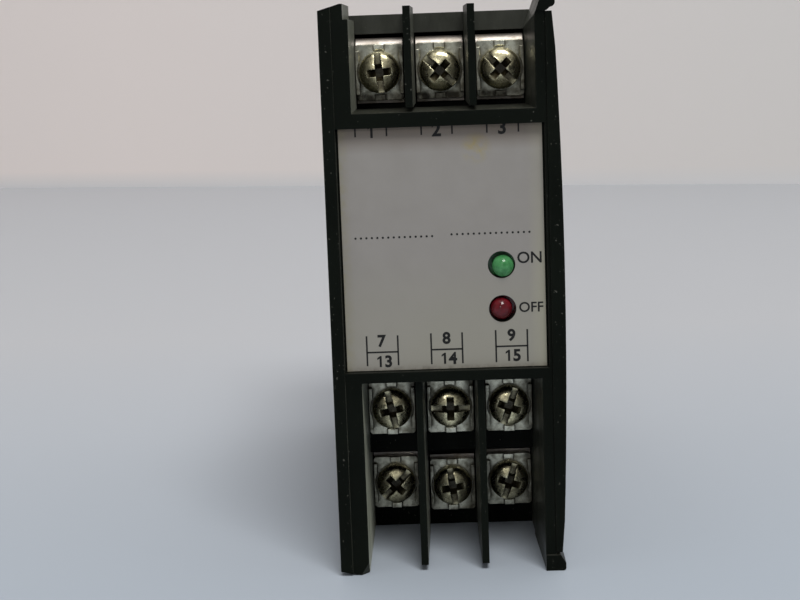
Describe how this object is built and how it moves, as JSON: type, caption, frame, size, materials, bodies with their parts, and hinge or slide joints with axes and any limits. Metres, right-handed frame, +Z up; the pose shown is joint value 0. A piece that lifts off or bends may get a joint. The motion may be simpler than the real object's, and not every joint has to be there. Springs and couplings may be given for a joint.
{
  "type": "rail-mounted protection relay",
  "caption": "Narrow black rail-mounted protection relay with a grey front label, two indicator lamps, stepped screw-clamp terminals between fins and a sprung rail latch.",
  "frame": {"origin": "middle of the footprint, on the plane the relay stands on", "axes": "+Z up the front, +Y from the front label to the rail side, +X to the right seen from the front"},
  "size_m": [0.0356, 0.104, 0.0875],
  "materials": {
    "black_case": "satin moulded",
    "black_cover": "satin moulded",
    "label": "matt printed foil",
    "green_lamp": "tinted clear",
    "red_lamp": "tinted clear",
    "strip_metal": "tinned",
    "clamp_metal": "plated",
    "screw_metal": "plated, worn",
    "board": "varnished",
    "core": "laminated",
    "coil": "taped winding",
    "relay_case": "smooth",
    "capacitor": "sleeved",
    "tinned_wire": "tinned",
    "latch": "satin moulded",
    "spring": "drawn wire"
  },
  "bodies": {
    "case": {"housing": "black_case", "side_cover": "black_cover", "label_plate": "label", "led_green": "green_lamp", "led_red": "red_lamp", "strip_1": "strip_metal", "strip_2": "strip_metal", "strip_3": "strip_metal", "strip_7": "strip_metal", "strip_8": "strip_metal", "strip_9": "strip_metal", "strip_13": "strip_metal", "strip_14": "strip_metal", "strip_15": "strip_metal", "pcb": "board", "transformer_core": "core", "transformer_coil": "coil", "output_relay": "relay_case", "capacitor": "capacitor", "link_wires": "tinned_wire", "latch_spring": "spring"},
    "latch": {"rail_latch": "latch"},
    "clamp_body_1": {"clamp_1": "clamp_metal"},
    "screw_body_1": {"screw_1": "screw_metal"},
    "clamp_body_2": {"clamp_2": "clamp_metal"},
    "screw_body_2": {"screw_2": "screw_metal"},
    "clamp_body_3": {"clamp_3": "clamp_metal"},
    "screw_body_3": {"screw_3": "screw_metal"},
    "clamp_body_7": {"clamp_7": "clamp_metal"},
    "screw_body_7": {"screw_7": "screw_metal"},
    "clamp_body_8": {"clamp_8": "clamp_metal"},
    "screw_body_8": {"screw_8": "screw_metal"},
    "clamp_body_9": {"clamp_9": "clamp_metal"},
    "screw_body_9": {"screw_9": "screw_metal"},
    "clamp_body_13": {"clamp_13": "clamp_metal"},
    "screw_body_13": {"screw_13": "screw_metal"},
    "clamp_body_14": {"clamp_14": "clamp_metal"},
    "screw_body_14": {"screw_14": "screw_metal"},
    "clamp_body_15": {"clamp_15": "clamp_metal"},
    "screw_body_15": {"screw_15": "screw_metal"}
  },
  "joints": [
    {"name": "latch_slide", "type": "slide", "parent": "case", "child": "latch", "axis": [0, 0, -1], "range_m": [0, 0.004], "stiffness_N_per_m": 600, "springref_m": -0.003, "deforming": ["latch_spring"]},
    {"name": "clamp_slide_1", "type": "slide", "parent": "case", "child": "clamp_body_1", "axis": [0, -1, 0], "range_m": [0, 0.003]},
    {"name": "screw_turn_1", "type": "hinge", "parent": "clamp_body_1", "child": "screw_body_1", "pos_m": [-0.0095, -0.03525, 0.077], "axis": [0, -1, 0], "range_deg": [0, 1800]},
    {"name": "clamp_slide_2", "type": "slide", "parent": "case", "child": "clamp_body_2", "axis": [0, -1, 0], "range_m": [0, 0.003]},
    {"name": "screw_turn_2", "type": "hinge", "parent": "clamp_body_2", "child": "screw_body_2", "pos_m": [0, -0.03525, 0.077], "axis": [0, -1, 0], "range_deg": [0, 1800]},
    {"name": "clamp_slide_3", "type": "slide", "parent": "case", "child": "clamp_body_3", "axis": [0, -1, 0], "range_m": [0, 0.003]},
    {"name": "screw_turn_3", "type": "hinge", "parent": "clamp_body_3", "child": "screw_body_3", "pos_m": [0.0095, -0.03525, 0.077], "axis": [0, -1, 0], "range_deg": [0, 1800]},
    {"name": "clamp_slide_7", "type": "slide", "parent": "case", "child": "clamp_body_7", "axis": [0, -1, 0], "range_m": [0, 0.003]},
    {"name": "screw_turn_7", "type": "hinge", "parent": "clamp_body_7", "child": "screw_body_7", "pos_m": [-0.0095, -0.03525, 0.0228], "axis": [0, -1, 0], "range_deg": [0, 1800]},
    {"name": "clamp_slide_8", "type": "slide", "parent": "case", "child": "clamp_body_8", "axis": [0, -1, 0], "range_m": [0, 0.003]},
    {"name": "screw_turn_8", "type": "hinge", "parent": "clamp_body_8", "child": "screw_body_8", "pos_m": [0, -0.03525, 0.0228], "axis": [0, -1, 0], "range_deg": [0, 1800]},
    {"name": "clamp_slide_9", "type": "slide", "parent": "case", "child": "clamp_body_9", "axis": [0, -1, 0], "range_m": [0, 0.003]},
    {"name": "screw_turn_9", "type": "hinge", "parent": "clamp_body_9", "child": "screw_body_9", "pos_m": [0.0095, -0.03525, 0.0228], "axis": [0, -1, 0], "range_deg": [0, 1800]},
    {"name": "clamp_slide_13", "type": "slide", "parent": "case", "child": "clamp_body_13", "axis": [0, -1, 0], "range_m": [0, 0.003]},
    {"name": "screw_turn_13", "type": "hinge", "parent": "clamp_body_13", "child": "screw_body_13", "pos_m": [-0.0095, -0.02775, 0.0082], "axis": [0, -1, 0], "range_deg": [0, 1800]},
    {"name": "clamp_slide_14", "type": "slide", "parent": "case", "child": "clamp_body_14", "axis": [0, -1, 0], "range_m": [0, 0.003]},
    {"name": "screw_turn_14", "type": "hinge", "parent": "clamp_body_14", "child": "screw_body_14", "pos_m": [0, -0.02775, 0.00755], "axis": [0, -1, 0], "range_deg": [0, 1800]},
    {"name": "clamp_slide_15", "type": "slide", "parent": "case", "child": "clamp_body_15", "axis": [0, -1, 0], "range_m": [0, 0.003]},
    {"name": "screw_turn_15", "type": "hinge", "parent": "clamp_body_15", "child": "screw_body_15", "pos_m": [0.0095, -0.02775, 0.0082], "axis": [0, -1, 0], "range_deg": [0, 1800]}
  ],
  "couplings": [
    {"joint": "screw_turn_1", "follows": "clamp_slide_1", "rad_per_m": 10471},
    {"joint": "screw_turn_2", "follows": "clamp_slide_2", "rad_per_m": 10471},
    {"joint": "screw_turn_3", "follows": "clamp_slide_3", "rad_per_m": 10471},
    {"joint": "screw_turn_7", "follows": "clamp_slide_7", "rad_per_m": 10471},
    {"joint": "screw_turn_8", "follows": "clamp_slide_8", "rad_per_m": 10471},
    {"joint": "screw_turn_9", "follows": "clamp_slide_9", "rad_per_m": 10471},
    {"joint": "screw_turn_13", "follows": "clamp_slide_13", "rad_per_m": 10471},
    {"joint": "screw_turn_14", "follows": "clamp_slide_14", "rad_per_m": 10471},
    {"joint": "screw_turn_15", "follows": "clamp_slide_15", "rad_per_m": 10471}
  ]
}
